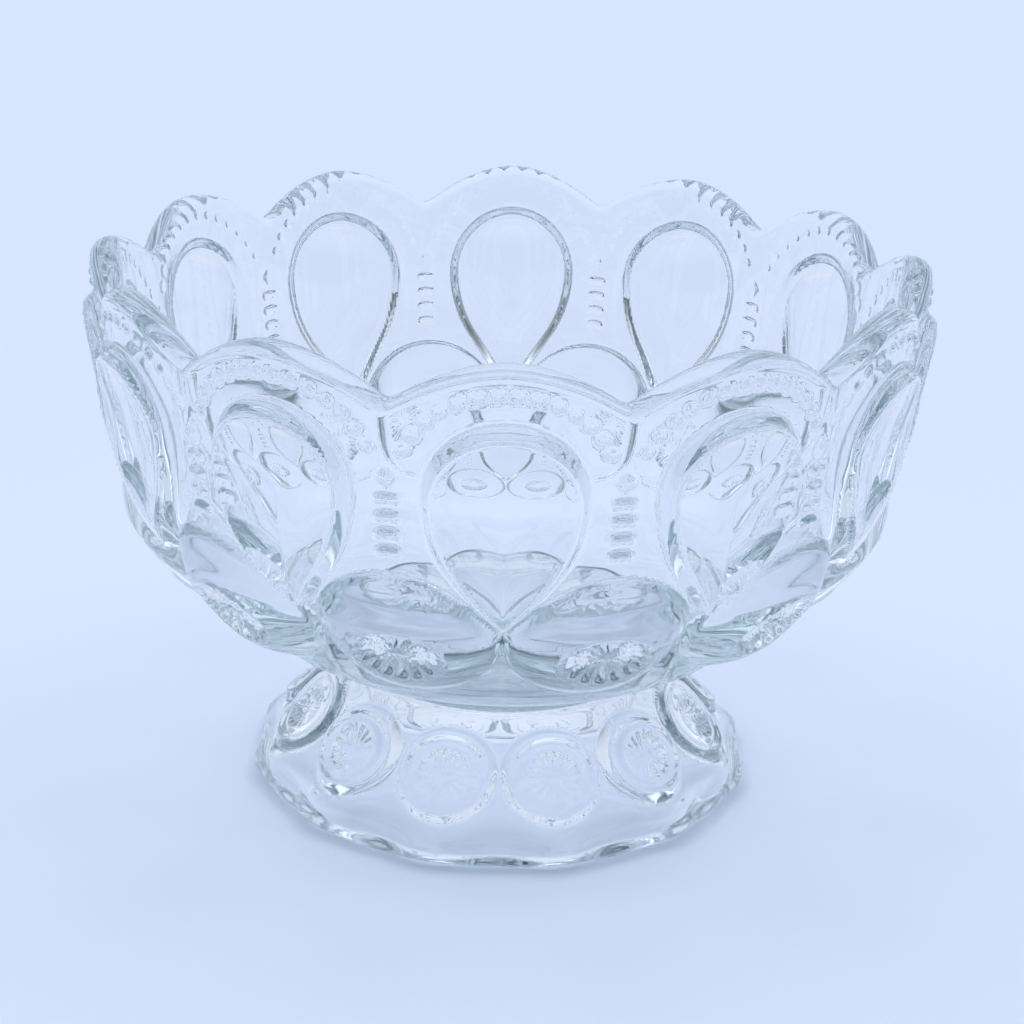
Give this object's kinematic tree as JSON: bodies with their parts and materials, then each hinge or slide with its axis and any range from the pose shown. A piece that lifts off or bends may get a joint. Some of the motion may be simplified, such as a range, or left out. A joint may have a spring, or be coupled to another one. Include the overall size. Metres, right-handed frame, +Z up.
{
  "type": "candy dish",
  "caption": "Footed pressed-glass candy dish: deep clear bowl with a scalloped rim, dished panels and domed moons, on a short flared hollow foot.",
  "frame": {"origin": "centre of the foot's sole, on the surface the dish stands on", "axes": "+Z up along the dish's axis; -Y faces the viewer, through the middle of one scallop; +X to the right"},
  "size_m": [0.1896, 0.1896, 0.1255],
  "materials": {
    "foot_glass": "fire-polished clear glass",
    "wafer_glass": "fire-polished clear glass",
    "bowl_glass": "fire-polished clear glass"
  },
  "bodies": {
    "root": {"foot": "foot_glass", "joining_wafer": "wafer_glass", "bowl": "bowl_glass"}
  },
  "joints": []
}
